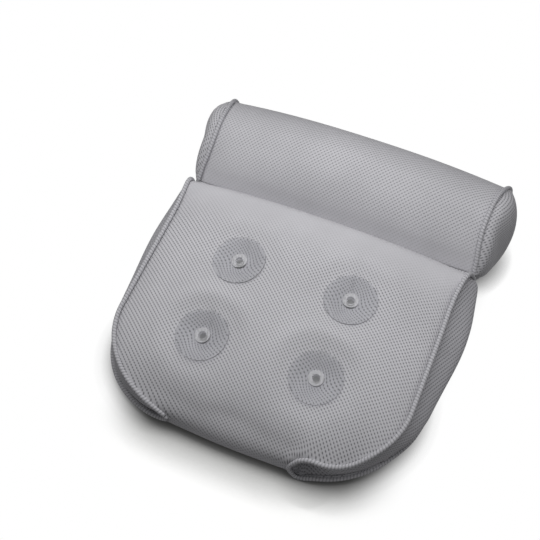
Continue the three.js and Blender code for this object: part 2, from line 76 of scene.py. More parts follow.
# The left side stands straighter than the right one
LEFT_SEAM_LEAN = 6
LEFT_FOLD_LEAN = 0
LEFT_BULGE = 3
LEFT_SWELL = 7
LEFT_FLARE = 6

# Neck roll
ROLL_LENGTH = 110
ROLL_HALF_WIDTH = 142
ROLL_SPREAD = 7
ROLL_HEIGHT = 102
ROLL_MIDDLE = ROLL_HEIGHT / 2
ROLL_SAG = 9
ROLL_END_DROP = 7
ROLL_END_LIFT = 6
ROLL_END_DRAW = 3
ROLL_CROWN = 4
CAP_FOLD_BULGE = 13
CAP_BULGE = 18
CAP_BACK_BULGE = 3
CAP_FLARE = 3
CAP_FULL_HEIGHT = 80
CAP_POWER = 0.7
CAP_GROW_START = 0.75
CAP_GROW_RUN = 0.35
CAP_SHRINK_START = 1.15
CAP_SHRINK_RUN = 0.5
ROLL_DRAW = 3.6
ROLL_DRAW_START = 0.35
ROLL_DRAW_RUN = 1.25
FOLD_END_OUT = 4.2
FOLD_END_RUN = 0.75

# Fold, cloth and piping
FOLD_HEIGHT = 50
FOLD_SEAM_RADIUS = 2.2
FOLD_TIP = 2.7
FOLD_SEAM_EXTRA = 1
FLOOR_EASE = 4
MESH_THICKNESS = 2.5
PIPING_RADIUS = 2.1
PIPING_PITCH = 3.0
PIPING_STEP = PIPING_PITCH / 6
PIPING_SIDES = 14
PIPING_PROUD = 0.8
PIPING_FOLD_RUN = 0.2
PIPING_NOSE_RUN = 0.6
RIB_DEPTH = 0.06
ROLL_RIB_LEAST = 0.2
ROLL_RIB_FADE_FROM = 55
ROLL_RIB_FADE_RUN = 25
SEAM_GROOVE = 1.6
GROOVE_RUN = 3.0
GROOVE_FULL_HEIGHT = 12
SEAM_STEP = 1.8
STEP_FULL_HEIGHT = 15
EDGE_SINK = 1.5
EDGE_SINK_RUN = 3.2
EDGE_SINK_END = 1.3
EDGE_SINK_FADE = 0.3

# Curve exponents
SHOULDER_POWER = 3.2
BELLY_POWER = 2
LEAN_POWER = 2
SIDE_POWER = 1.5
CROWN_POWER = 2.4
NOSE_POWER = 3
NOSE_ROUND_MIDDLE = 0.5
NOSE_ROUND_SEAM = 0.25
BOW_POWER = 4

# Suction cups: radii, and heights along each cup's axis from its joint
CUP_RADIUS = 25
CUP_SEGMENTS = 96
HEAD_RADIUS = 6
HEAD_LOW = -13.6
HEAD_HIGH = -10.6
STEM_RADIUS = 3.4
BASE_RADIUS = 8
BASE_LOW = -5.7
RIM_LOW = -0.09
RIM_HIGH = 1.6
RIM_INSIDE = 22.6
BOWL_MIDDLE = (15, -1.0)
BOWL_FLOOR = (7.6, -2.9)
RING_RADIUS = 7.5
RING_HIGH = 0.4
SOCKET_RADIUS = 3.5
SOCKET_LOW = -4.1
CUP_EDGE_ROUND = 0.8
EDGE_SHARE = 0.45
RING_PAINT_RADIUS = 7.7
RING_PAINT_LOW = -4.3
SOCKET_PAINT_RADIUS = 3.2

# Tufts: the funnel under each cup, the raised cloth beside it and the pull on the weave
SEAT_RADIUS = 9.5
SEAT_DEPTH = 6.6
TUFT_RADIUS = 27
TUFT_SLOPE = SEAT_DEPTH / (TUFT_RADIUS - SEAT_RADIUS)
TUFT_REACH = 90
TUFT_HEIGHT = 25
TUFT_BLEND = 3.0
HUMP_PLACE = 41
HUMP_RUN = 12
HUMP_POWER = 1.5
HUMP_RISE = {1: 1.5, 2: 2.5, 3: 4.0, 4: 5.5}
HUMP_SIDE = {1: 1.6, 2: 1.6, 3: 1.9, 4: 1.9}
DENT_SLOPE = 0.25
PLEAT_SLANT = 0.12
PLEAT_WIDTH = 2.6
PLEAT_DEPTH = 1.8
PLEAT_START = 4
PLEAT_START_RUN = 8
PLEAT_END = 22
PLEAT_END_RUN = 9
WEAVE_PULL = 5.0
PULL_START = 6
PULL_RUN = 26
PULL_EASE = 2
STEM_HOLE_RADIUS = 3.8
STEM_HOLE_HEIGHT = 12

# Lip at the right front corner: the upper seam stands up beside its end and the lower one sags
LIP_PLACE = 74
LIP_RUN = 15
LIP_START = 7
LIP_REACH = 34
LIP_RISE = 6
LIP_BACK = 3.8
LIP_HOLLOW = 10
LIP_HOLLOW_RUN = LIP_RUN * 1.4
DIP_PLACE = 112
DIP_RUN = 15
DIP_DEPTH = 4
TUCK_PLACE = 122
TUCK_RUN = 22
TUCK_LIFT = 3
TUCK_BACK = 1.5
CORNER_IN = 3.0
CORNER_IN_PLACE = 195
CORNER_IN_RUN = 24
CORNER_FADE_START = 170
CORNER_FADE_RUN = 45
CORNER_FADE_SHARE = 0.8
SAG_PLACE = 67
SAG_RUN = 13
SAG_START = 6
LIP_SAG = 8

# Weave cell on the panel and the roll: holes sit at its corners and in its middle
WEAVE_CELL = np.array([4.2, 3.77])
ROLL_WEAVE_CELL = np.array([4.0, 4.35])
STRAIGHT_ROW_FROM_FOLD = 130
# How strongly the holes and their painted shade show: weaker near the fold and low on the roll
PANEL_FADE = (0.12, 0.95)
PANEL_FADE_FROM = 20
PANEL_FADE_RUN = 55
ROLL_FADE = (0.25, 0.7)
ROLL_FADE_FROM = 55
ROLL_FADE_RUN = 30
GUSSET_WEAVE_SLANT = math.radians(-16)
CAP_WEAVE_SLANT = math.radians(-30)

# Fineness of the visible meshes
PANEL_TOP_STEP = 1.7
PANEL_UNDER_STEP = 4.5
PANEL_COLUMNS = 177
ROLL_TOP_STEP = 2.4
ROLL_UNDER_STEP = 4.0
ROLL_COLUMNS = 125
LEAF_ROWS = 150
LEAF_COLUMNS = 33
LEAF_END_TURN = 0.004
SEAM_SAMPLES = 1600
TURN_SAMPLES = 8000
BESIDE_SEAM = 0.97
PIPING_SOFT_PASSES = 12
OUTWARD_SOFT_PASSES = 30
OUTWARD_SPAN = 4
ROUND_POINTS = 5

# Cloth simulation, and what stays held in it
SIM_STEP = 5
SIM_FRAMES = 20
SIM_PRESSURE = 4
SIM_QUALITY = 8
SIM_MASS = 0.3
SIM_STIFFNESS = 0.3
SIM_START_INSET = 1.5
SIM_LARGEST_MOVE = 5
SIM_LARGEST_DROP = 0.8
HELD_EDGE = 0.995
HELD_UNDER_TURN = 2.05
HELD_BY_FOLD = 8
HELD_LOW = 6
HELD_CUP_FADE = 9

JOINTS = {joint["name"]: joint for joint in frame["joints"]}
FOLD_Y = JOINTS["fold_hinge"]["pos_m"][1] / MM


# Shape formulas shared by the pads
def mix(start, end, share):
    return start + (end - start) * share


def clamp01(value):
    return np.clip(value, 0, 1)


def smooth01(value):
    share = clamp01(value)
    return share * share * (3 - 2 * share)


def rise(distance, run, power):
    return 1 - (1 - clamp01(distance / run)) ** power


def across(middle, edge, u):
    return mix(middle, edge, np.abs(u) ** CROWN_POWER)


def settle(height):
    eased = (np.clip(height, -FLOOR_EASE, FLOOR_EASE) + FLOOR_EASE) ** 2 / (4 * FLOOR_EASE)
    return np.where(height >= FLOOR_EASE, height, eased)


def unit(vectors):
    return vectors / np.maximum(np.linalg.norm(vectors, axis=-1, keepdims=True), 1e-9)


def panel_half_width(distance):
    corner = clamp01((distance - (PANEL_LENGTH - CORNER_LENGTH)) / CORNER_LENGTH)
    return mix(FRONT_WRAP_HALF_WIDTH, PANEL_HALF_WIDTH, np.sqrt(1 - corner ** 2))


def side_fullness(distance):
    """Where along the panel its sides are fullest, with a longer tail towards the front."""
    past = distance - GUSSET_FULL_PLACE
    kept = 1 - smooth01((distance - GUSSET_TAIL_END) / GUSSET_TAIL_FADE)
    tail = np.exp(-(past / GUSSET_TAIL_RUN) ** 2) * kept
    front = mix(np.exp(-(past / GUSSET_FRONT_RUN) ** 2), tail, GUSSET_TAIL_SHARE)
    return np.where(past < 0, np.exp(-(past / GUSSET_FULL_RUN) ** 2), front)


def panel_reach(u, turn):
    """Distance from the fold and fullness: turn runs 0 to 1 over the flat and 1 to 2 round the nose."""
    reach = np.sin(np.pi / 2 * clamp01(turn - 1))
    fullness = np.sqrt(np.maximum(0, 1 - reach ** NOSE_POWER))
    roundness = mix(NOSE_ROUND_MIDDLE, NOSE_ROUND_SEAM, np.abs(u) ** CROWN_POWER)
    share = (1 - fullness ** (1 / roundness)) ** (1 / NOSE_POWER)
    distance = np.where(turn <= 1, PANEL_NOSE_START * turn, mix(PANEL_NOSE_START, PANEL_LENGTH, share))
    return distance, fullness


def corner_front(x):
    """Distance from the fold to the right corner's seam at a place across."""
    share = clamp01((x - FRONT_WRAP_HALF_WIDTH) / (PANEL_HALF_WIDTH - FRONT_WRAP_HALF_WIDTH))
    return PANEL_LENGTH - CORNER_LENGTH * (1 - np.sqrt(1 - share ** 2))


def lip_share(x, distance, place, run, start):
    """How much of the right corner's lip a point of the panel takes part in."""
    along = np.exp(-((x - place) / run) ** 2) * np.sqrt(clamp01((x - FRONT_WRAP_HALF_WIDTH) / start))
    behind = np.maximum(corner_front(x) - distance, 0)
    return along * np.exp(-(behind / LIP_REACH) ** 2)


def panel_point(u, turn):
    """Skin of the panel: turn 0 to 2 over the top to the nose, 2 to 4 back underneath to the fold."""
    u, turn = np.broadcast_arrays(u, turn)
    under = turn > 2
    upper_turn = np.where(under, 4 - turn, turn)
    here, fullness = panel_reach(u, upper_turn)
    seam_here, _ = panel_reach(np.ones_like(u), upper_turn)
    chord = mix(FOLD_HEIGHT, FRONT_HEIGHT, here / PANEL_LENGTH)
    shoulder = fullness * rise(here, PANEL_SHOULDER_RUN, SHOULDER_POWER)
    belly = fullness * rise(here, PANEL_BELLY_RUN, BELLY_POWER)
    fold_lean = np.where(u < 0, LEFT_FOLD_LEAN, PANEL_FOLD_LEAN)
    seam_lean = np.where(u < 0, LEFT_SEAM_LEAN, PANEL_SEAM_LEAN)
    lean = seam_lean + fold_lean * np.exp(-seam_here / PANEL_LEAN_FADE)
    drawn_in = lean * fullness * rise(here, PANEL_LEAN_RUN, LEAN_POWER)
    flared_out = np.where(u < 0, LEFT_FLARE, GUSSET_FLARE) * side_fullness(seam_here) * belly
    low = settle(chord - belly * across(PANEL_BELLY, PANEL_EDGE_BELLY, u))
    high = chord + shoulder * across(PANEL_LOFT, PANEL_EDGE_LOFT, u)
    bow = FRONT_BOW * (1 - u ** 2) * (here / PANEL_LENGTH) ** BOW_POWER
    out = mix(FOLD_TIP, PANEL_LENGTH, here / PANEL_LENGTH) + bow
    corner_in = np.where(u < 0, 0, CORNER_IN) * np.exp(-((seam_here - CORNER_IN_PLACE) / CORNER_IN_RUN) ** 2)
    x = u * (panel_half_width(seam_here) + np.where(under, flared_out - corner_in, -drawn_in))
    lip = lip_share(x, here, LIP_PLACE, LIP_RUN, LIP_START)
    dip = lip_share(x, here, DIP_PLACE, DIP_RUN, LIP_START)
    sag = lip_share(x, here, SAG_PLACE, SAG_RUN, SAG_START)
    tuck = lip_share(x, here, TUCK_PLACE, TUCK_RUN, LIP_START)
    low = np.maximum(low - LIP_SAG * sag, np.minimum(low, PIPING_RADIUS)) + TUCK_LIFT * tuck
    y = np.where(under, TUCK_BACK * tuck, LIP_BACK * lip) - out
    z = np.where(under, low, high + LIP_RISE * lip - DIP_DEPTH * dip)
    return np.stack([x, y, z], -1)


def roll_point(u, turn):
    """Skin of the roll: turn 0 to 2 over the top to the back, 2 to 4 back underneath to the fold."""
    u, turn = np.broadcast_arrays(u, turn)
    under = turn > 2
    angle = np.pi / 2 * np.where(under, 4 - turn, turn)
    reach = (1 - np.cos(angle)) / 2
    fullness = np.where(angle < np.pi / 2, np.sin(angle) ** 2, np.sin(angle))
    chord = mix(FOLD_HEIGHT, ROLL_MIDDLE, clamp01(2 * reach))
    low = settle(chord - fullness * (ROLL_MIDDLE + across(ROLL_SAG, -ROLL_END_LIFT, u)))
    high = chord + fullness * (ROLL_MIDDLE - across(-ROLL_CROWN, ROLL_END_DROP, u))
    y = mix(FOLD_TIP, ROLL_LENGTH - across(0, ROLL_END_DRAW, u), reach)
    upper_turn = np.where(under, 4 - turn, turn)
    drawn_in = ROLL_DRAW * np.sin(np.pi * clamp01((upper_turn - ROLL_DRAW_START) / ROLL_DRAW_RUN))
    end_shift = np.where(under, CAP_FLARE * fullness, -drawn_in)
    end_shift = end_shift + FOLD_END_OUT * (1 - smooth01(upper_turn / FOLD_END_RUN))
    x = u * (ROLL_HALF_WIDTH + ROLL_SPREAD * reach + end_shift)
    return np.stack([x, y, np.where(under, low, high)], -1)


def spaced_turns(point, top_step, under_step):
    """Turn values whose rows lie evenly along the middle of the pad, wider apart underneath."""
    turn = np.linspace(0, 4, TURN_SAMPLES + 1)
    line = point(np.zeros_like(turn), turn)
    steps = np.linalg.norm(np.diff(line, axis=0), axis=1)
    spacing = np.where(turn[1:] <= 2, top_step, under_step)
    count = np.r_[0, np.cumsum(steps / spacing)]
    rows = int(round(count[-1]))
    return np.interp(np.linspace(0, count[-1], rows + 1), count, turn)


def surface_normals(points):
    return unit(np.cross(np.gradient(points, axis=1), np.gradient(points, axis=0)))


def weave_cells(points, cell, straight_row):
    """Weave cells across and along a grid of rows, counted from its middle and from a straight row."""
    normal = surface_normals(points)
    along = unit(np.cross(normal, [1.0, 0.0, 0.0]))
    over = np.cross(along, normal)
    middle = points.shape[1] // 2
    step_across = np.sum(np.diff(points, axis=1) * (over[:, 1:] + over[:, :-1]) / 2, -1)
    step_along = np.sum(np.diff(points, axis=0) * (along[1:] + along[:-1]) / 2, -1)
    across_length = np.concatenate([np.zeros((points.shape[0], 1)), np.cumsum(step_across, axis=1)], axis=1)
    across_length -= across_length[:, middle:middle + 1]
    along_length = np.concatenate([np.zeros((1, points.shape[1])), np.cumsum(step_along, axis=0)], axis=0)
    top = slice(0, points.shape[0] // 3)
    for column in range(points.shape[1]):
        from_fold = np.abs(points[top, column, 1])
        along_length[:, column] -= np.interp(straight_row, from_fold, along_length[top, column])
    return np.stack([across_length, along_length], -1) / cell


# Mesh builders
def to_world(points):
    return (np.asarray(points) + [0, FOLD_Y, 0]) * MM


def link(name, vertices, faces, corner_uv=None):
    mesh = bpy.data.meshes.new(name)
    mesh.from_pydata(vertices.tolist(), [], faces)
    if corner_uv is not None:
        layer = mesh.uv_layers.new(name="weave")
        layer.data.foreach_set("uv", np.asarray(corner_uv, np.float32).ravel())
    mesh.shade_smooth()
    mesh.update()
    piece = bpy.data.objects.new(name, mesh)
    bpy.context.scene.collection.objects.link(piece)
    return piece


def grid_piece(name, points, weave, closed, flip, keep=None, fade=None):
    """Quads over rows and columns of points. A closed grid joins its last row to its first."""
    rows, columns = points.shape[:2]
    cell_rows = rows if closed else rows - 1
    row, column = np.meshgrid(np.arange(cell_rows), np.arange(columns - 1), indexing="ij")
    row, column = row.ravel(), column.ravel()
    corners = [(row, column), (row, column + 1), (row + 1, column + 1), (row + 1, column)]
    if flip:
        corners = corners[::-1]
    faces = np.stack([(r % rows) * columns + c for r, c in corners], -1)
    corner_uv = np.stack([weave[r, c] for r, c in corners], 1)
    if keep is not None:
        kept = keep(faces)
        faces, corner_uv = faces[kept], corner_uv[kept]
    piece = link(name, to_world(points.reshape(-1, 3)), faces.tolist(), corner_uv.reshape(-1, 2))
    if fade is not None:
        attribute = piece.data.attributes.new("fade", "FLOAT", "POINT")
        attribute.data.foreach_set("value", np.asarray(fade, np.float32).ravel())
    return piece


def thicken(piece):
    """Gives a sheet of cloth its thickness, inwards from its face."""
    modifier = piece.modifiers.new("thickness", "SOLIDIFY")
    modifier.thickness = MESH_THICKNESS * MM
    modifier.offset = -1


# Cup frames: seat point, axis, and directions across and along the panel
CUPS = []
for number in (1, 2, 3, 4):
    joint = JOINTS[f"cup_{number}_swivel"]
    seat = np.array(joint["pos_m"]) / MM - [0, FOLD_Y, 0]
    axis = np.array(joint["axis"])
    along_axis = unit(np.cross(axis, [1.0, 0.0, 0.0]))
    across_axis = np.cross(along_axis, axis)
    CUPS.append((number, seat, axis, across_axis, along_axis))


def smooth_least(first, second, width):
    near = clamp01(0.5 + 0.5 * (second - first) / width)
    return mix(second, first, near) - width * near * (1 - near)


def tufted(points, weave):
    """Raises the cloth beside each cup and draws it into a funnel under it, with a pleat towards the fold."""
    points = points.copy()
    weave = weave.copy()
    for number, seat, axis, across_axis, along_axis in CUPS:
        offset = points - seat
        x = offset @ across_axis
        y = offset @ along_axis
        radius = np.hypot(x, y)
        near = (radius < TUFT_REACH) & (np.abs(offset @ axis) < TUFT_HEIGHT)
        toward = (0.5 + 0.5 * np.cos(np.arctan2(y, x) - HUMP_SIDE[number])) ** HUMP_POWER
        hump = HUMP_RISE[number] * toward * np.exp(-((radius - HUMP_PLACE) / HUMP_RUN) ** 2)
        points = np.where(near[..., None], points + axis * hump[..., None], points)
        height = (points - seat) @ axis
        funnel = np.clip(radius, SEAT_RADIUS, TUFT_RADIUS) - SEAT_RADIUS
        dent = np.maximum(radius - TUFT_RADIUS, 0)
        cone = funnel * TUFT_SLOPE - SEAT_DEPTH + dent * DENT_SLOPE
        pleat_side = x + PLEAT_SLANT * y
        begun = smooth01((y - PLEAT_START) / PLEAT_START_RUN)
        left = 1 - smooth01((radius - PLEAT_END) / PLEAT_END_RUN)
        pleat = np.exp(-(pleat_side / PLEAT_WIDTH) ** 2) * begun * left
        target = smooth_least(height, cone - PLEAT_DEPTH * pleat, TUFT_BLEND)
        points = np.where(near[..., None], points + axis * (target - height)[..., None], points)
        pull = WEAVE_PULL * (1 - smooth01((radius - PULL_START) / PULL_RUN))
        pull = pull * (radius / (radius + PULL_EASE))
        direction = np.stack([x, y], -1) / np.maximum(radius, 0.5)[..., None]
        moved = pull[..., None] * direction / WEAVE_CELL
        weave[:-1] = np.where(near[..., None], weave[:-1] + moved, weave[:-1])
    return points, weave


def open_stem_holes(points):
    """Pushes the cloth out of each stem's hole and returns a test for the faces that stay."""
    flat = points.reshape(-1, 3)
    inside = np.zeros(len(flat), bool)
    for _, seat, axis, across_axis, along_axis in CUPS:
        offset = flat - seat
        x = offset @ across_axis
        y = offset @ along_axis
        radius = np.hypot(x, y)
        hole = (radius < STEM_HOLE_RADIUS) & (np.abs(offset @ axis) < STEM_HOLE_HEIGHT)
        inside |= hole
        grow = (STEM_HOLE_RADIUS - radius) / np.maximum(radius, 0.2)
        shift = (x * grow)[:, None] * across_axis + (y * grow)[:, None] * along_axis
        flat[hole] += shift[hole]
    return flat.reshape(points.shape), lambda faces: ~np.all(inside[faces], axis=1)


# Cloth simulation: a coarse sheet swells under pressure, and the fine cover takes over its movement
def swell(name, skin, held, flip):
    """Movement of each point of a coarse closed sheet whose held points stay where they are."""
    piece = grid_piece(name, skin, np.zeros((*(np.array(skin.shape[:2]) + 1), 2)), True, flip)
    group = piece.vertex_groups.new(name="held")
    for index, weight in enumerate(held.ravel()):
        group.add([index], float(weight), "REPLACE")
    cloth = piece.modifiers.new("cloth", "CLOTH")
    cloth.settings.quality = SIM_QUALITY
    cloth.settings.mass = SIM_MASS
    cloth.settings.tension_stiffness = SIM_STIFFNESS
    cloth.settings.compression_stiffness = SIM_STIFFNESS
    cloth.settings.shear_stiffness = SIM_STIFFNESS / 3
    cloth.settings.use_pressure = True
    cloth.settings.uniform_pressure_force = SIM_PRESSURE
    cloth.settings.vertex_group_mass = "held"
    cloth.settings.effector_weights.gravity = 0
    cloth.collision_settings.use_collision = False
    cloth.point_cache.frame_start = 1
    cloth.point_cache.frame_end = SIM_FRAMES
    for number in range(1, SIM_FRAMES + 1):
        bpy.context.scene.frame_set(number)
    result = piece.evaluated_get(bpy.context.evaluated_depsgraph_get()).data
    places = np.empty(len(result.vertices) * 3)
    result.vertices.foreach_get("co", places)
    sheet = piece.data
    bpy.data.objects.remove(piece)
    bpy.data.meshes.remove(sheet)
    bpy.context.scene.frame_set(1)
    return places.reshape(skin.shape) / MM - [0, FOLD_Y, 0] - skin


def spline_weights(places, count, closed):
    """Weights of a smooth cubic spline over a line of values, one row for each place."""
    weights = np.zeros((len(places), count))
    first = np.floor(places).astype(int)
    t = places - first
    shares = ((1 - t) ** 3 / 6, (3 * t ** 3 - 6 * t ** 2 + 4) / 6,
              (1 + 3 * t + 3 * t ** 2 - 3 * t ** 3) / 6, t ** 3 / 6)
    for step, share in zip((-1, 0, 1, 2), shares):
        index = (first + step) % count if closed else np.clip(first + step, 0, count - 1)
        np.add.at(weights, (np.arange(len(places)), index), share)
    return weights


def simulated(name, point, turns, u_line, holds, flip):
    """Movement of a fine grid, from the simulation of a coarse one."""
    coarse_turns = spaced_turns(point, SIM_STEP, SIM_STEP)[:-1]
    half_width = point(1.0, 1.0)[0]
    coarse_u = np.linspace(-1, 1, 2 * round(half_width / SIM_STEP) + 1)
    skin = point(coarse_u[None, :], coarse_turns[:, None])
    held = holds(skin, coarse_u[None, :], coarse_turns[:, None])
    outward = surface_normals(skin) * (-1 if flip else 1)
    start = skin - outward * (SIM_START_INSET * (1 - held))[..., None]
    move = swell(name, start, held, flip) + start - skin
    lift = np.sum(move * outward, -1, keepdims=True)
    move += outward * (np.maximum(lift, -SIM_LARGEST_DROP) - lift)
    length = np.linalg.norm(move, axis=-1, keepdims=True)
    move *= SIM_LARGEST_MOVE * np.tanh(length / SIM_LARGEST_MOVE) / np.maximum(length, 1e-6)
    row_places = np.interp(turns, np.r_[coarse_turns, 4], np.arange(len(coarse_turns) + 1))
    column_places = np.interp(u_line, coarse_u, np.arange(len(coarse_u)))
    rows = spline_weights(row_places, len(coarse_turns), True)
    columns = spline_weights(column_places, len(coarse_u), False)
    fine = np.einsum("ri,ijk,cj->rck", rows, move, columns)
    free = smooth01((1 - np.abs(u_line)) * half_width / SIM_STEP)
    return fine * free[None, :, None]


def sunk_edges(skin, turns, u_line, half_width, flip):
    """Draws the upper edges of a cover down beside the piping."""
    edge = (1 - np.abs(u_line)) * half_width
    upper = 1 - smooth01((turns - EDGE_SINK_END) / EDGE_SINK_FADE)
    depth = EDGE_SINK * upper[:, None] * np.exp(-(edge / EDGE_SINK_RUN) ** 2)[None, :]
    return skin + surface_normals(skin) * depth[..., None] * (1 if flip else -1)


def panel_holds(skin, u, turn):
    """Held on the panel: the side seams, the fold, the underside and the cups' seats."""
    side = (np.abs(u) > HELD_EDGE) | (turn > HELD_UNDER_TURN) | (-skin[..., 1] < HELD_BY_FOLD)
    held = np.where(side, 1.0, 0.0)
    for _, seat, axis, _, _ in CUPS:
        offset = skin - seat
        radius = np.linalg.norm(offset - (offset @ axis)[..., None] * axis, axis=-1)
        held = np.maximum(held, 1 - smooth01((radius - CUP_RADIUS) / HELD_CUP_FADE))
    return held


def roll_holds(skin, u, turn):
    """Held on the roll: the end seams, the fold and the underside."""
    side = (np.abs(u) > HELD_EDGE) | (skin[..., 1] < HELD_BY_FOLD) | (skin[..., 2] < HELD_LOW)
    return np.where(side, 1.0, 0.0)


# Side pieces: the leaf between the upper and the lower seam
def seam_normals(point, side, turn):
    """Which way the cover faces beside a seam."""
    here = point(np.full_like(turn, side), turn)
    inside = point(np.full_like(turn, BESIDE_SEAM * side), turn)
    facing = unit(np.cross(np.gradient(here, axis=0), here - inside)) * -side
    return facing * np.sign(np.sum(facing * [0, 0, 1], -1) * np.where(turn > 2, -1, 1) + 1e-6)[:, None]


def side_normals(point, side, turn):
    """Which way a side piece bulges at each row."""
    if point is roll_point:
        return np.tile([side, 0.0, 0.0], (len(turn), 1))
    lower = point(np.full_like(turn, side), 4 - turn)
    run = np.gradient(lower, axis=0)
    flat = np.stack([-side * run[:, 1], side * run[:, 0], 0 * run[:, 0]], -1)
    flat[-1] = [0, -1, 0]
    return unit(flat)


def side_swell(point, side, turn, height):
    """How far a side piece bulges at each row."""
    if point is roll_point:
        bulge = mix(CAP_FOLD_BULGE, CAP_BULGE, smooth01((turn - CAP_GROW_START) / CAP_GROW_RUN))
        bulge = mix(bulge, CAP_BACK_BULGE, smooth01((turn - CAP_SHRINK_START) / CAP_SHRINK_RUN))
        return bulge * np.sin(np.pi / 2 * clamp01(height / CAP_FULL_HEIGHT))
    distance, _ = panel_reach(np.ones_like(turn), turn)
    least, most = (LEFT_BULGE, LEFT_SWELL) if side < 0 else (GUSSET_BULGE, GUSSET_SWELL)
    bulge = least + most * side_fullness(distance)
    bulge = bulge * (1 - CORNER_FADE_SHARE * smooth01((distance - CORNER_FADE_START) / CORNER_FADE_RUN))
    return bulge * np.sin(np.pi / 2 * clamp01(height / GUSSET_FULL_HEIGHT))


def leaf_grid(point, side, rows, columns):
    """Points of a side piece: rows along the seam and columns from the upper to the lower seam."""
    turn = np.linspace(LEAF_END_TURN, 2 - LEAF_END_TURN, rows)
    upper = point(np.full_like(turn, side), turn)
    lower = point(np.full_like(turn, side), 4 - turn)
    share = np.linspace(0, 1, columns)
    height = np.linalg.norm(upper - lower, axis=1)
    swelling = side_swell(point, side, turn, height)
    power = np.full_like(turn, SIDE_POWER)
    if point is roll_point:
        power[:] = CAP_POWER
    else:
        distance, _ = panel_reach(np.ones_like(turn), turn)
        lip = lip_share(side * panel_half_width(distance), distance, LIP_PLACE, LIP_HOLLOW_RUN, LIP_START)
        swelling = mix(swelling, -LIP_HOLLOW, lip)
    edge = np.minimum(share, 1 - share) * height[:, None]
    groove = SEAM_GROOVE * np.exp(-(edge / GROOVE_RUN) ** 2) * clamp01(height / GROOVE_FULL_HEIGHT)[:, None]
    place = share ** power[:, None]
    profile = 2 * np.sqrt(place * (1 - place)) if point is roll_point else np.sin(np.pi * place)
    out = swelling[:, None] * profile - groove
    step = (SEAM_STEP * clamp01(height / STEP_FULL_HEIGHT))[:, None]
    upper = upper - seam_normals(point, side, turn) * step
    lower = lower - seam_normals(point, side, 4 - turn) * step
    body = mix(upper[:, None], lower[:, None], share[None, :, None])
    return body + side_normals(point, side, turn)[:, None] * out[..., None]


def leaf_weave(points, slant, lean):
    """Weave cells of a side piece, turned by slant, with lean -1 for a mirrored weave."""
    down = np.linalg.norm(np.diff(points, axis=1), axis=-1)
    down = np.concatenate([np.zeros((len(points), 1)), np.cumsum(down, axis=1)], axis=1)
    down = lean * (down - down[:, -1:] / 2)
    middle = points[:, points.shape[1] // 2]
    run = np.r_[0, np.cumsum(np.linalg.norm(np.diff(middle, axis=0), axis=1))]
    run = np.broadcast_to(run[:, None], down.shape)
    along = run * math.cos(slant) + down * math.sin(slant)
    down = down * math.cos(slant) - run * math.sin(slant)
    return np.stack([along, down], -1) / WEAVE_CELL


# Piping: a ribbed cord along a closed seam
def even_loop(points, step):
    closed = np.concatenate([points, points[:1]])
    length = np.r_[0, np.cumsum(np.linalg.norm(np.diff(closed, axis=0), axis=1))]
    count = int(round(length[-1] / step))
    at = np.linspace(0, length[-1], count, endpoint=False)
    return np.stack([np.interp(at, length, closed[:, k]) for k in range(3)], -1), length[-1] / count


def soft_loop(points, passes):
    for _ in range(passes):
        points = (np.roll(points, 1, 0) + 2 * points + np.roll(points, -1, 0)) / 4
    return points


def rope_piece(name, centre, outward, step, radius, closed, ribbed=1.0):
    """Round cord with slanting ribs along a line of points, as deep as ribbed says."""
    count = len(centre)
    direction = unit(np.roll(centre, -1, 0) - np.roll(centre, 1, 0))
    if not closed:
        direction[0], direction[-1] = direction[1], direction[-2]
    sideways = unit(np.cross(direction, outward))
    upright = np.cross(sideways, direction)
    angle = np.linspace(0, 2 * np.pi, PIPING_SIDES + 1)
    ribs = max(1, round(count * step / PIPING_PITCH))
    along = np.arange(count + 1) / count * ribs
    rib = np.abs(np.sin(np.pi * along[:count, None] + angle[None, :] / 2))
    depth = RIB_DEPTH * np.broadcast_to(ribbed, count)[:, None]
    reach = radius * (1 - depth + 2 * depth * rib)[..., None]
    ring = upright[:, None] * np.cos(angle)[None, :, None] + sideways[:, None] * np.sin(angle)[None, :, None]
    points = centre[:, None] + ring * reach
    rows = count if closed else count - 1
    row, column = np.meshgrid(np.arange(rows), np.arange(PIPING_SIDES), indexing="ij")
    row, column = row.ravel(), column.ravel()
    corners = [(row, column), (row, column + 1), (row + 1, column + 1), (row + 1, column)]
    faces = np.stack([(r % count) * PIPING_SIDES + c % PIPING_SIDES for r, c in corners], -1)
    weave = np.stack([np.broadcast_to(along[:, None], (count + 1, PIPING_SIDES + 1)),
                      np.broadcast_to(angle[None, :] / (2 * np.pi), (count + 1, PIPING_SIDES + 1))], -1)
    corner_uv = np.stack([weave[r, c] for r, c in corners], 1)
    vertices = to_world(points[:, :PIPING_SIDES].reshape(-1, 3))
    return link(name, vertices, faces.tolist(), corner_uv.reshape(-1, 2))


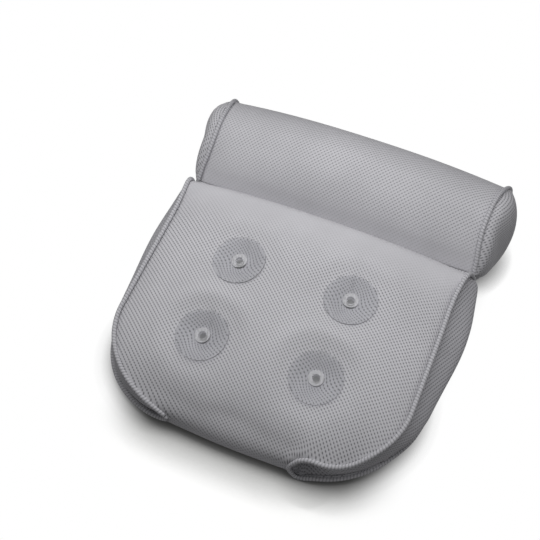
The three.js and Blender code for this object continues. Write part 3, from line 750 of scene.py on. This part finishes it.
def seam_piping(name, point, side):
    """Piping loop of a side piece, standing a little proud of the seam."""
    turn = np.linspace(0, 4, SEAM_SAMPLES + 1)[:-1]
    line = point(np.full_like(turn, side), turn)
    upper_turn = np.where(turn > 2, 4 - turn, turn)
    clear_of_ends = smooth01(upper_turn / PIPING_FOLD_RUN) * smooth01((2 - upper_turn) / PIPING_NOSE_RUN)
    line = line + seam_normals(point, side, turn) * (PIPING_PROUD * clear_of_ends)[:, None]
    line, _ = even_loop(line, PIPING_STEP)
    line, step = even_loop(soft_loop(line, PIPING_SOFT_PASSES), PIPING_STEP)
    upper = np.where(np.arange(len(line)) < len(line) / 2, 1, -1)
    if point is roll_point:
        outward = np.tile([side, 0.0, 0.0], (len(line), 1))
    else:
        run = np.roll(line, -OUTWARD_SPAN, 0) - np.roll(line, OUTWARD_SPAN, 0)
        outward = np.stack([-side * run[:, 1] * upper, side * run[:, 0] * upper, 0 * upper], -1)
        outward = soft_loop(unit(outward), OUTWARD_SOFT_PASSES)
    ribbed = 1.0
    if point is roll_point:
        ribbed = mix(1.0, ROLL_RIB_LEAST, smooth01((line[:, 2] - ROLL_RIB_FADE_FROM) / ROLL_RIB_FADE_RUN))
    return rope_piece(name, line, outward, step, PIPING_RADIUS, True, ribbed)


# Looks of the cloth, the piping, the vinyl and the washers
WANDER_SCALE = 0.2
WANDER = 0.3
SLANTING_SHARE = 0.67
HOLE_START = 0.05
CLOUD_SCALE = 14.0
CLOUD_CONTRAST = 0.05
LINT_SCALE = 1500.0
LINT_SHARE = 0.3
LINT_SHADE = 0.72
LINT_RELIEF = 0.15
FIBRE_SCALE = 1800.0
FIBRE_SHARE = 0.35
FIBRE_SHADE = 0.7
VINYL_CLOUD_SCALE = 60.0
VINYL_IOR = 1.3
VINYL_THROUGH = (0.89, 0.89, 0.90, 1)
GRAIN_SCALE = 900.0


# Materials
def new_material(name):
    material = bpy.data.materials.new(name)
    material.use_nodes = True
    tree = material.node_tree
    return material, tree, tree.nodes["Principled BSDF"]


def add_node(tree, kind, **settings):
    node = tree.nodes.new(kind)
    for key, value in settings.items():
        if key == "inputs":
            for socket, constant in value.items():
                node.inputs[socket].default_value = constant
        else:
            setattr(node, key, value)
    return node


def math_node(tree, operation, first, second=None):
    node = add_node(tree, "ShaderNodeMath", operation=operation)
    for place, value in enumerate((first, second)):
        if value is None:
            continue
        if isinstance(value, (int, float)):
            node.inputs[place].default_value = value
        else:
            tree.links.new(value, node.inputs[place])
    return node.outputs[0]


def smooth_range(tree, value, low, high, start, end):
    node = add_node(tree, "ShaderNodeMapRange", interpolation_type="SMOOTHSTEP",
                    inputs={"From Min": low, "From Max": high, "To Min": start, "To Max": end})
    tree.links.new(value, node.inputs["Value"])
    return node.outputs["Result"]


def mixed_colour(tree, share, first, second):
    node = add_node(tree, "ShaderNodeMix", data_type="RGBA")
    for socket, value in ((0, share), (6, first), (7, second)):
        if isinstance(value, tuple):
            node.inputs[socket].default_value = (*value, 1)
        elif isinstance(value, (int, float)):
            node.inputs[socket].default_value = value
        else:
            tree.links.new(value, node.inputs[socket])
    return node.outputs[2]


def mixed_shader(tree, share, first, second):
    node = tree.nodes.new("ShaderNodeMixShader")
    for socket, value in enumerate((share, first, second)):
        tree.links.new(value, node.inputs[socket])
    return node.outputs[0]


def bumped(tree, shader, height, strength, distance):
    bump = add_node(tree, "ShaderNodeBump", inputs={"Strength": strength, "Distance": distance * MM})
    tree.links.new(height, bump.inputs["Height"])
    tree.links.new(bump.outputs["Normal"], shader.inputs["Normal"])


def shaded(colour, factor):
    return tuple(channel * factor for channel in colour)


def noise(tree, coordinates, scale, detail=2.0):
    node = add_node(tree, "ShaderNodeTexNoise", inputs={"Scale": scale, "Detail": detail})
    tree.links.new(coordinates, node.inputs["Vector"])
    return node.outputs["Fac"]


def weave_wave(tree, across_cells, along_cells, operation):
    phase = math_node(tree, operation, across_cells, along_cells)
    return math_node(tree, "COSINE", math_node(tree, "MULTIPLY", phase, 2 * math.pi))


def air_mesh_material(name, thread, hole):
    """Mesh of pale thread with dark holes where two slanting waves of the weave meet; the holes' dark colour
    is painted shade.
    """
    material, tree, shader = new_material(name)
    uv = add_node(tree, "ShaderNodeUVMap", uv_map="weave").outputs["UV"]
    place = add_node(tree, "ShaderNodeTexCoord").outputs["Object"]
    wander = math_node(tree, "SUBTRACT", noise(tree, uv, WANDER_SCALE, 1.0), 0.5)
    split = add_node(tree, "ShaderNodeSeparateXYZ")
    tree.links.new(uv, split.inputs[0])
    drift = math_node(tree, "MULTIPLY", wander, WANDER)
    across_cells = math_node(tree, "ADD", split.outputs["X"], drift)
    along_cells = math_node(tree, "ADD", split.outputs["Y"], drift)
    slanting = weave_wave(tree, across_cells, along_cells, "SUBTRACT")
    crossing = weave_wave(tree, across_cells, along_cells, "ADD")
    waves = math_node(tree, "ADD", math_node(tree, "MULTIPLY", slanting, SLANTING_SHARE),
                      math_node(tree, "MULTIPLY", crossing, 1 - SLANTING_SHARE))
    open_share = smooth_range(tree, waves, HOLE_START, 1.0, 0.0, 1.0)
    # the fade attribute weakens the holes' painted shade and relief in places
    fade = add_node(tree, "ShaderNodeAttribute", attribute_name="fade").outputs["Fac"]
    open_share = math_node(tree, "MULTIPLY", open_share, fade)
    cloudy = smooth_range(tree, noise(tree, place, CLOUD_SCALE, 3.0), 0.3, 0.7, 0.0, 1.0)
    lint = noise(tree, place, LINT_SCALE)
    thread_colour = mixed_colour(tree, cloudy, shaded(thread, 1 - CLOUD_CONTRAST),
                                 shaded(thread, 1 + CLOUD_CONTRAST))
    linted = smooth_range(tree, lint, 0.35, 0.75, 0.0, LINT_SHARE)
    thread_colour = mixed_colour(tree, linted, thread_colour, shaded(thread, LINT_SHADE))
    # painted shade: the holes take the dark hole colour
    colour = mixed_colour(tree, open_share, thread_colour, hole)
    tree.links.new(colour, shader.inputs["Base Color"])
    relief = math_node(tree, "SUBTRACT", math_node(tree, "MULTIPLY", lint, LINT_RELIEF), open_share)
    bumped(tree, shader, relief, 0.3, 0.5)
    rough = smooth_range(tree, lint, 0.2, 0.8, 0.78, 0.95)
    tree.links.new(rough, shader.inputs["Roughness"])
    shader.inputs["Specular IOR Level"].default_value = 0.25
    shader.inputs["Sheen Weight"].default_value = 0.08
    shader.inputs["Sheen Roughness"].default_value = 0.5
    return material


def piping_material(name, crest, groove):
    """Cord whose ribs are lighter on their crests than in the grooves between them: the darker grooves are
    painted shade.
    """
    material, tree, shader = new_material(name)
    uv = add_node(tree, "ShaderNodeUVMap", uv_map="weave").outputs["UV"]
    split = add_node(tree, "ShaderNodeSeparateXYZ")
    tree.links.new(uv, split.inputs[0])
    turn = math_node(tree, "ADD", split.outputs["X"], split.outputs["Y"])
    turn = math_node(tree, "MULTIPLY", turn, math.pi)
    rib = math_node(tree, "ABSOLUTE", math_node(tree, "SINE", turn))
    place = add_node(tree, "ShaderNodeTexCoord").outputs["Object"]
    fibre = noise(tree, place, FIBRE_SCALE)
    lit = smooth_range(tree, rib, 0.15, 0.85, 0.0, 1.0)
    colour = mixed_colour(tree, lit, groove, crest)
    fuzzy = smooth_range(tree, fibre, 0.35, 0.75, 0.0, FIBRE_SHARE)
    colour = mixed_colour(tree, fuzzy, colour, shaded(crest, FIBRE_SHADE))
    tree.links.new(colour, shader.inputs["Base Color"])
    bumped(tree, shader, fibre, 0.4, 0.2)
    rough = smooth_range(tree, fibre, 0.2, 0.8, 0.7, 0.9)
    tree.links.new(rough, shader.inputs["Roughness"])
    shader.inputs["Specular IOR Level"].default_value = 0.3
    return material


def vinyl_material(name, clear, pale, dull, smooth, rough):
    """Soft clear vinyl. Lamplight passes straight through it, so that the cloth behind stays lit."""
    material, tree, shader = new_material(name)
    place = add_node(tree, "ShaderNodeTexCoord").outputs["Object"]
    cloud = smooth_range(tree, noise(tree, place, VINYL_CLOUD_SCALE), 0.3, 0.7, 0.0, 1.0)
    tree.links.new(mixed_colour(tree, cloud, dull, pale), shader.inputs["Base Color"])
    tree.links.new(smooth_range(tree, cloud, 0.0, 1.0, smooth, rough), shader.inputs["Roughness"])
    shader.inputs["Transmission Weight"].default_value = clear
    shader.inputs["IOR"].default_value = VINYL_IOR
    shader.inputs["Specular IOR Level"].default_value = 0.25
    through = add_node(tree, "ShaderNodeBsdfTransparent", inputs={"Color": VINYL_THROUGH})
    path = tree.nodes.new("ShaderNodeLightPath")
    straight = math_node(tree, "MAXIMUM", path.outputs["Is Shadow Ray"], path.outputs["Is Diffuse Ray"])
    chosen = mixed_shader(tree, straight, shader.outputs[0], through.outputs[0])
    tree.links.new(chosen, tree.nodes["Material Output"].inputs["Surface"])
    return material


def moulded_material(name, pale, dull):
    material, tree, shader = new_material(name)
    place = add_node(tree, "ShaderNodeTexCoord").outputs["Object"]
    grain = noise(tree, place, GRAIN_SCALE, 3.0)
    tree.links.new(mixed_colour(tree, grain, pale, dull), shader.inputs["Base Color"])
    tree.links.new(smooth_range(tree, grain, 0.3, 0.7, 0.35, 0.5), shader.inputs["Roughness"])
    bumped(tree, shader, grain, 0.15, 0.1)
    return material


# Thread and hole colours; the dark hole colours are painted shade in the weave's holes
MESH_CLOTH = air_mesh_material("air_mesh_cloth", (0.51, 0.505, 0.53), (0.14, 0.14, 0.15))
# A darker copy of the same cloth for the panel's side pieces: painted shade
SHADED_SIDE_CLOTH = air_mesh_material("air_mesh_side_shaded", (0.43, 0.425, 0.45), (0.16, 0.16, 0.17))
# The piping's darker groove colour is painted shade between its ribs
PIPING = piping_material("ribbed_piping", (0.49, 0.485, 0.51), (0.28, 0.28, 0.295))
VINYL = vinyl_material("clear_vinyl_soft", 0.98, (0.93, 0.935, 0.94), (0.88, 0.885, 0.89), 0.12, 0.18)
VINYL_RING = vinyl_material("clear_vinyl_ring", 0.65, (0.74, 0.74, 0.75), (0.66, 0.66, 0.67), 0.12, 0.2)
# The socket's darker, less clear vinyl paints the shade inside the hub's blind hole
SHADED_VINYL_SOCKET = vinyl_material("clear_vinyl_socket_shaded", 0.5, (0.42, 0.42, 0.43), (0.36, 0.36, 0.37), 0.2, 0.3)
WASHER = moulded_material("white_moulded", (0.80, 0.80, 0.80), (0.70, 0.70, 0.69))


def finish_piece(piece, body, slot, material, *nodes):
    piece.data.materials.append(material)
    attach(piece, body)
    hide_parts(*nodes)


# Panel cover
turns = spaced_turns(panel_point, PANEL_TOP_STEP, PANEL_UNDER_STEP)
u_line = np.linspace(-1, 1, PANEL_COLUMNS)
skin = panel_point(u_line[None, :], turns[:, None])
weave = weave_cells(skin, WEAVE_CELL, STRAIGHT_ROW_FROM_FOLD)
skin = skin[:-1] + simulated("panel_swell", panel_point, turns[:-1], u_line, panel_holds, True)
skin = sunk_edges(skin, turns[:-1], u_line, PANEL_HALF_WIDTH, True)
skin, weave = tufted(skin, weave)
skin, kept_faces = open_stem_holes(skin)
fade = mix(*PANEL_FADE, smooth01((-skin[..., 1] - PANEL_FADE_FROM) / PANEL_FADE_RUN))
panel_cover = grid_piece("panel_cover", skin, weave, True, True, kept_faces, fade)
thicken(panel_cover)
finish_piece(panel_cover, "panel", "air_mesh", MESH_CLOTH, "panel_sleeve", "panel_core")

# Roll cover
turns = spaced_turns(roll_point, ROLL_TOP_STEP, ROLL_UNDER_STEP)
u_line = np.linspace(-1, 1, ROLL_COLUMNS)
skin = roll_point(u_line[None, :], turns[:, None])
weave = weave_cells(skin, ROLL_WEAVE_CELL, ROLL_LENGTH / 2)
skin = skin[:-1] + simulated("roll_swell", roll_point, turns[:-1], u_line, roll_holds, False)
skin = sunk_edges(skin, turns[:-1], u_line, ROLL_HALF_WIDTH, False)
fade = mix(*ROLL_FADE, smooth01((skin[..., 2] - ROLL_FADE_FROM) / ROLL_FADE_RUN))
roll_cover = grid_piece("roll_cover", skin, weave, True, False, fade=fade)
thicken(roll_cover)
finish_piece(roll_cover, "roll", "air_mesh", MESH_CLOTH, "roll_sleeve", "roll_core")

# Side pieces and piping
for label, side in (("left", -1), ("right", 1)):
    for pad, point, node, cloth, slant, lean in (
            ("panel", panel_point, "gusset", SHADED_SIDE_CLOTH, GUSSET_WEAVE_SLANT, -1),
            ("roll", roll_point, "end_cap", MESH_CLOTH, CAP_WEAVE_SLANT, 1)):
        grid = leaf_grid(point, side, LEAF_ROWS, LEAF_COLUMNS)
        cells = leaf_weave(grid, slant, lean)
        leaf = grid_piece(f"{pad}_side_{label}", grid, cells, False, side > 0, fade=np.ones(grid.shape[:2]))
        thicken(leaf)
        finish_piece(leaf, pad, "air_mesh", cloth, f"{pad}_{node}_{label}")
        rope = seam_piping(f"{pad}_welt_{label}", point, side)
        finish_piece(rope, pad, "piping", PIPING, f"{pad}_piping_{label}")

# Fold seam
half_seam = ROLL_HALF_WIDTH + FOLD_SEAM_EXTRA
seam_x = np.arange(-half_seam, half_seam, PIPING_STEP)
seam_line = np.stack([seam_x, 0 * seam_x, 0 * seam_x + FOLD_HEIGHT], -1)
seam_up = np.tile([0.0, 0.0, 1.0], (len(seam_x), 1))
fold_seam = rope_piece("fold_stitching", seam_line, seam_up, PIPING_STEP, FOLD_SEAM_RADIUS, False)
finish_piece(fold_seam, "panel", "piping", PIPING, "fold_seam")


# Suction cups
def rounded(profile, radius):
    """Profile with each corner rounded, radii limited by the neighbouring edges."""
    points = [np.array(profile[0], float)]
    for before, corner, after in zip(profile, profile[1:], profile[2:]):
        before, corner, after = (np.array(p, float) for p in (before, corner, after))
        into, out = before - corner, after - corner
        reach = min(radius, np.linalg.norm(into) * EDGE_SHARE, np.linalg.norm(out) * EDGE_SHARE)
        start = corner + unit(into) * reach
        end = corner + unit(out) * reach
        for share in np.linspace(0, 1, ROUND_POINTS):
            points.append(mix(mix(start, corner, share), mix(corner, end, share), share))
    points.append(np.array(profile[-1], float))
    return np.array(points)


# From the button head under the washer, round the rim and into the hub's socket
CUP_PROFILE = rounded([
    (0, HEAD_LOW), (HEAD_RADIUS, HEAD_LOW), (HEAD_RADIUS, HEAD_HIGH), (STEM_RADIUS, HEAD_HIGH),
    (STEM_RADIUS, BASE_LOW), (BASE_RADIUS, BASE_LOW), (CUP_RADIUS, RIM_LOW), (CUP_RADIUS, RIM_HIGH),
    (RIM_INSIDE, RIM_HIGH), BOWL_MIDDLE, BOWL_FLOOR, (RING_RADIUS, RING_HIGH),
    (SOCKET_RADIUS, RING_HIGH), (SOCKET_RADIUS, SOCKET_LOW), (0, SOCKET_LOW),
], CUP_EDGE_ROUND)


def cup_piece(name, seat, axis, across_axis, along_axis):
    """Turned form of the profile about the cup's axis."""
    segments = CUP_SEGMENTS
    angle = np.linspace(0, 2 * np.pi, segments, endpoint=False)
    spokes = np.cos(angle)[:, None] * across_axis + np.sin(angle)[:, None] * along_axis
    inner = CUP_PROFILE[1:-1]
    rings = seat + inner[:, None, :1] * spokes[None] + inner[:, None, 1:] * axis
    bottom = seat + CUP_PROFILE[0, 1] * axis
    top = seat + CUP_PROFILE[-1, 1] * axis
    vertices = np.concatenate([rings.reshape(-1, 3), [bottom, top]])
    faces = []
    for ring in range(len(inner) - 1):
        for k in range(segments):
            after = (k + 1) % segments
            faces.append((ring * segments + k, ring * segments + after,
                          (ring + 1) * segments + after, (ring + 1) * segments + k))
    last = (len(inner) - 1) * segments
    low, high = len(vertices) - 2, len(vertices) - 1
    for k in range(segments):
        after = (k + 1) % segments
        faces.append((low, after, k))
        faces.append((high, last + k, last + after))
    return link(name, to_world(vertices), faces)


for number, seat, axis, across_axis, along_axis in CUPS:
    cup = cup_piece(f"clear_cup_{number}", seat, axis, across_axis, along_axis)
    finish_piece(cup, f"cup_{number}", "clear_vinyl", VINYL, f"suction_cup_{number}")
    cup.data.materials.append(VINYL_RING)
    cup.data.materials.append(SHADED_VINYL_SOCKET)
    for face in cup.data.polygons:
        offset = np.array(face.center) / MM - [0, FOLD_Y, 0] - seat
        height = offset @ axis
        radius = np.linalg.norm(offset - height * axis)
        # Faces of the hub's ring take the ring vinyl; those of its socket take the darker vinyl with painted
        # shade
        if radius < RING_PAINT_RADIUS and height > RING_PAINT_LOW:
            face.material_index = 1 if radius > SOCKET_PAINT_RADIUS else 2
    washer = frame["nodes"][f"backing_washer_{number}"]
    washer.data.materials.clear()
    washer.data.materials.append(WASHER)


def seen_rays(tree):
    """Rays that show the background: from the camera, mirrored, or through something clear."""
    rays = tree.nodes.new("ShaderNodeLightPath").outputs
    mirrored = math_node(tree, "MAXIMUM", rays["Is Camera Ray"], rays["Is Glossy Ray"])
    return math_node(tree, "MAXIMUM", mirrored, rays["Is Transmission Ray"])


def openness(tree, reach, power):
    """How far a place is from being covered by something within reach."""
    cover = add_node(tree, "ShaderNodeAmbientOcclusion", inputs={"Distance": reach})
    return math_node(tree, "POWER", cover.outputs["AO"], power)


def vector_node(tree, operation, first, second=(0, 0, 0)):
    node = add_node(tree, "ShaderNodeVectorMath", operation=operation)
    tree.links.new(first, node.inputs[0])
    node.inputs[1].default_value = second
    return node.outputs["Value" if operation == "LENGTH" else "Vector"]


# Floor: plain white further out, with the part's soft shadow near it: real lamp shadow on the grey floor, and
# painted shadow where the white glow dims beside the part
FLOOR_HALF_SIZE = 6
FLOOR_DROP = 0.0005
FLOOR_GREY = (0.32, 0.32, 0.31, 1)
FLOOR_BOUNCE = (0.35, 0.35, 0.35, 1)
FLOOR_GLOW = 0.78
WHITE = (1, 1, 1, 1)
SHADOW_REACH = 0.042
SHADOW_POWER = 4.5
CONTACT_REACH = 0.02
CONTACT_POWER = 1.5
SHADOW_MIDDLE = (0.015, 0, 0)
SHADOW_HALF_SIZE = (0.07, 0.17, 0)
SHADOW_FADE = (0.02, 0.08)
floor_corners = FLOOR_HALF_SIZE * np.array([(-1, -1, 0), (1, -1, 0), (1, 1, 0), (-1, 1, 0)])
floor = link("studio_floor", floor_corners, [(0, 1, 2, 3)])
floor.location.z = -FLOOR_DROP
material = bpy.data.materials.new("pale_floor")
material.use_nodes = True
tree = material.node_tree
tree.nodes.clear()
output = tree.nodes.new("ShaderNodeOutputMaterial")
grey = add_node(tree, "ShaderNodeBsdfDiffuse", inputs={"Color": FLOOR_GREY})
glow = add_node(tree, "ShaderNodeEmission", inputs={"Color": WHITE})
# painted shadow: the glow dims where the part covers the floor within reach
strength = math_node(tree, "MULTIPLY", openness(tree, SHADOW_REACH, SHADOW_POWER), FLOOR_GLOW)
tree.links.new(strength, glow.inputs["Strength"])
near = tree.nodes.new("ShaderNodeAddShader")
tree.links.new(grey.outputs[0], near.inputs[0])
tree.links.new(glow.outputs[0], near.inputs[1])
white = add_node(tree, "ShaderNodeEmission", inputs={"Color": WHITE})
# painted contact shadow: the outer white dims right beside the part
tree.links.new(openness(tree, CONTACT_REACH, CONTACT_POWER), white.inputs["Strength"])
place = add_node(tree, "ShaderNodeTexCoord").outputs["Object"]
offset = vector_node(tree, "ABSOLUTE", vector_node(tree, "SUBTRACT", place, SHADOW_MIDDLE))
outside = vector_node(tree, "MAXIMUM", vector_node(tree, "SUBTRACT", offset, SHADOW_HALF_SIZE))
far = smooth_range(tree, vector_node(tree, "LENGTH", outside), *SHADOW_FADE, 0.0, 1.0)
bounce = add_node(tree, "ShaderNodeBsdfDiffuse", inputs={"Color": FLOOR_BOUNCE})
shown = mixed_shader(tree, far, near.outputs[0], white.outputs[0])
surface = mixed_shader(tree, seen_rays(tree), bounce.outputs[0], shown)
tree.links.new(surface, output.inputs["Surface"])
floor.data.materials.append(material)

# Light: a wide soft box above the panel and an even dim surround
LAMP_LENGTH = 0.8
LAMP_WIDTH = 0.26
LAMP_ENERGY = 2.5
LAMP_PLACE = (-0.05, -0.01, 0.5)
SURROUND = 0.18
scene = bpy.context.scene
lamp = bpy.data.lights.new("soft_box", "AREA")
lamp.shape = "RECTANGLE"
lamp.size = LAMP_LENGTH
lamp.size_y = LAMP_WIDTH
lamp.energy = LAMP_ENERGY
lamp_object = bpy.data.objects.new("soft_box", lamp)
scene.collection.objects.link(lamp_object)
lamp_object.location = LAMP_PLACE
lamp_object.visible_transmission = False
lamp_object.visible_glossy = False
world = bpy.data.worlds.new("studio")
scene.world = world
world.use_nodes = True
tree = world.node_tree
tree.nodes.clear()
output = tree.nodes.new("ShaderNodeOutputWorld")
background = add_node(tree, "ShaderNodeBackground", inputs={"Color": WHITE})
bright = math_node(tree, "MAXIMUM", seen_rays(tree), SURROUND)
tree.links.new(bright, background.inputs["Strength"])
tree.links.new(background.outputs[0], output.inputs["Surface"])

# Camera
CAMERA_AZIMUTH = math.radians(24.23)
CAMERA_ELEVATION = math.radians(52.4)
CAMERA_DISTANCE = 1117.0
CAMERA_TARGET = np.array([-37.8, -61.0, 35.0])
FOCAL_PIXELS = 1150.0
FRAME_PIXELS = 540.0
SENSOR = 36.0
CLIP_END = 20
sin_a, cos_a = math.sin(CAMERA_AZIMUTH), math.cos(CAMERA_AZIMUTH)
sin_e, cos_e = math.sin(CAMERA_ELEVATION), math.cos(CAMERA_ELEVATION)
back = Vector((sin_a * cos_e, -cos_a * cos_e, sin_e))
right = Vector((cos_a, sin_a, 0))
up = Vector((-sin_a * sin_e, cos_a * sin_e, cos_e))
camera_data = bpy.data.cameras.new("photo_camera")
camera_data.sensor_width = SENSOR
camera_data.lens = FOCAL_PIXELS / FRAME_PIXELS * SENSOR
camera_data.clip_end = CLIP_END
camera = bpy.data.objects.new("photo_camera", camera_data)
scene.collection.objects.link(camera)
place = Vector(to_world(CAMERA_TARGET)) + back * CAMERA_DISTANCE * MM
camera.matrix_world = Matrix(((right.x, up.x, back.x, place.x), (right.y, up.y, back.y, place.y),
                              (right.z, up.z, back.z, place.z), (0, 0, 0, 1)))
scene.camera = camera
scene.view_settings.view_transform = "Standard"

bpy.context.view_layer.update()
